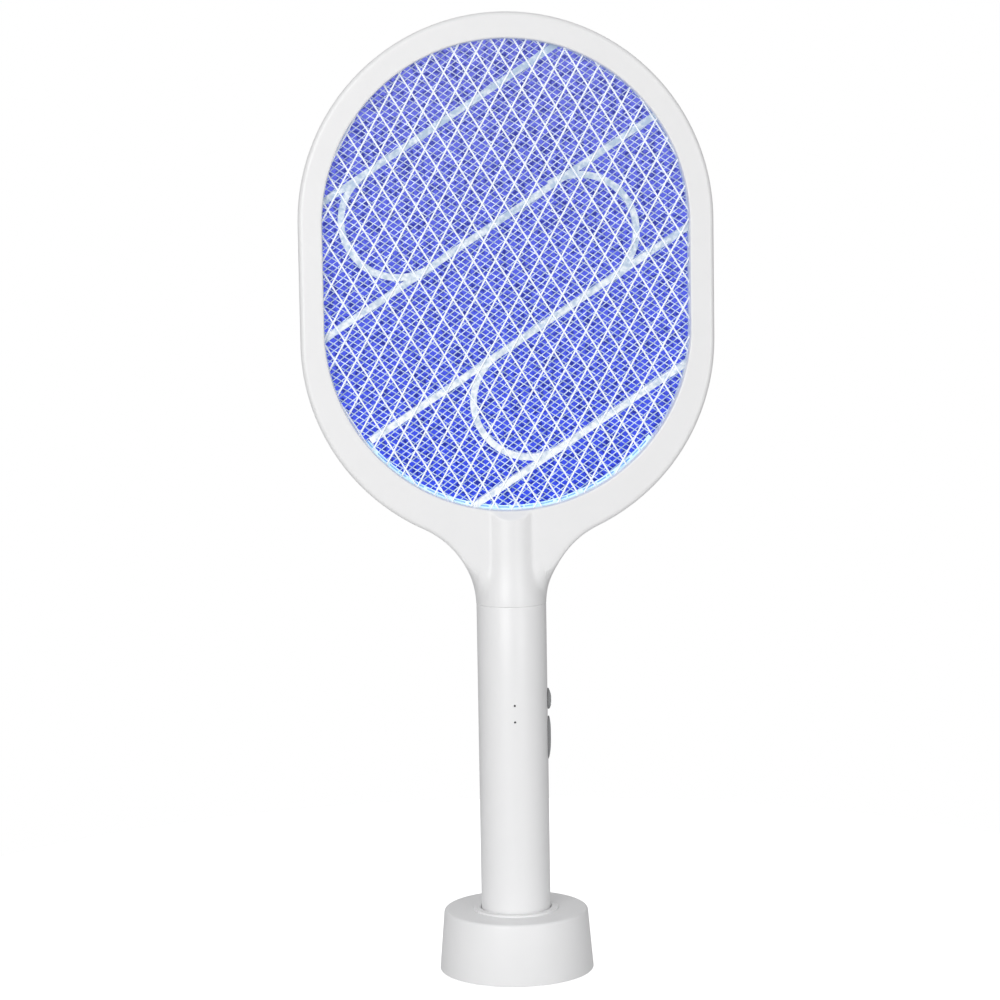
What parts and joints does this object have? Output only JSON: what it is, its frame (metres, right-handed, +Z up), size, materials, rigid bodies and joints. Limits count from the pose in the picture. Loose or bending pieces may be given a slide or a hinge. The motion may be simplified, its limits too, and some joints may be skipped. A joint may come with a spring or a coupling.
{
  "type": "electric fly swatter",
  "caption": "Rechargeable bat-shaped electric fly swatter with a lit live grid between two guard grids, standing in a round charging base.",
  "frame": {"origin": "middle of the underside of the base's feet, on the handle's axis", "axes": "+Z up along the handle; -Y is the front of the racket; the side controls face +X"},
  "size_m": [0.2132, 0.0812, 0.5001],
  "materials": {
    "white_shell": "satin moulded white plastic",
    "base_underside": "fine-textured moulded plastic",
    "clear_rib": "translucent natural plastic, lit blue from the lamp",
    "grid_white": "white coated steel wire",
    "live_wire": "bright drawn wire",
    "lamp_white": "white solder mask",
    "lamp_emitter": "lit ultraviolet LED lens",
    "steel": "zinc-plated steel",
    "lead_red": "red insulation",
    "lead_grey": "grey insulation",
    "black_plastic": "moulded black plastic",
    "cell_wrap": "shrink-wrapped sleeve",
    "board_green": "green solder mask",
    "ferrite": "sintered ferrite",
    "winding": "enamelled copper wire",
    "film_capacitor": "dipped epoxy",
    "resistor_body": "lacquered ceramic",
    "indicator": "clear LED body",
    "smoked_clear": "smoked clear plastic",
    "grey_control": "fine-textured grey plastic",
    "red_plastic": "moulded plastic",
    "rubber_foot": "soft matte rubber",
    "gold_contact": "gold-plated brass"
  },
  "bodies": {
    "base": {"base_shell": "white_shell", "socket_cup": "white_shell", "base_plate": "base_underside", "rubber_feet": "rubber_foot", "base_screws": "steel", "base_board": "board_green", "usb_socket": "steel", "usb_tongue": "black_plastic", "contact_barrels": "gold_contact", "pin_springs": "steel"},
    "racket": {"front_frame": "white_shell", "rear_frame": "white_shell", "front_spacer": "clear_rib", "rear_spacer": "clear_rib", "front_grid": "grid_white", "live_grid": "live_wire", "rear_grid": "grid_white", "lamp_board": "lamp_white", "lamp_leds": "lamp_emitter", "head_screws": "steel", "grid_leads": "lead_red", "lamp_leads": "lead_grey", "handle_tube": "white_shell", "neck_screw": "steel", "inner_chassis": "black_plastic", "end_cap": "white_shell", "cap_screws": "steel", "charge_contacts": "gold_contact", "charge_leads": "black_plastic", "battery_cell": "cell_wrap", "battery_tabs": "steel", "battery_leads": "lead_red", "main_board": "board_green", "transformer_core": "ferrite", "transformer_winding": "winding", "high_voltage_capacitor": "film_capacitor", "rectifier_diodes": "black_plastic", "drive_transistor": "black_plastic", "bleed_resistors": "resistor_body", "charge_chip": "black_plastic", "indicator_leds": "indicator", "light_pipes": "smoked_clear", "mode_switch_body": "steel", "fire_switch_body": "black_plastic"},
    "mode_slider": {"mode_knob": "grey_control", "mode_switch_lever": "black_plastic"},
    "fire_plunger": {"fire_button": "grey_control", "fire_switch_plunger": "red_plastic"},
    "pin_pair": {"contact_pins": "gold_contact"}
  },
  "joints": [
    {"name": "racket_lift", "type": "slide", "parent": "base", "child": "racket", "axis": [0, 0, 1], "range_m": [0, 0.03]},
    {"name": "mode_slide", "type": "slide", "parent": "racket", "child": "mode_slider", "axis": [0, 0, 1], "range_m": [-0.0018, 0.0018]},
    {"name": "fire_press", "type": "slide", "parent": "racket", "child": "fire_plunger", "axis": [-1, 0, 0], "range_m": [0, 0.0008], "stiffness_N_per_m": 2000, "springref_m": -0.0001},
    {"name": "pin_rise", "type": "slide", "parent": "base", "child": "pin_pair", "axis": [0, 0, 1], "range_m": [0, 0.0012], "deforming": ["pin_springs"]}
  ],
  "couplings": [
    {"joint": "pin_rise", "follows": "racket_lift", "ratio": 0.04}
  ]
}
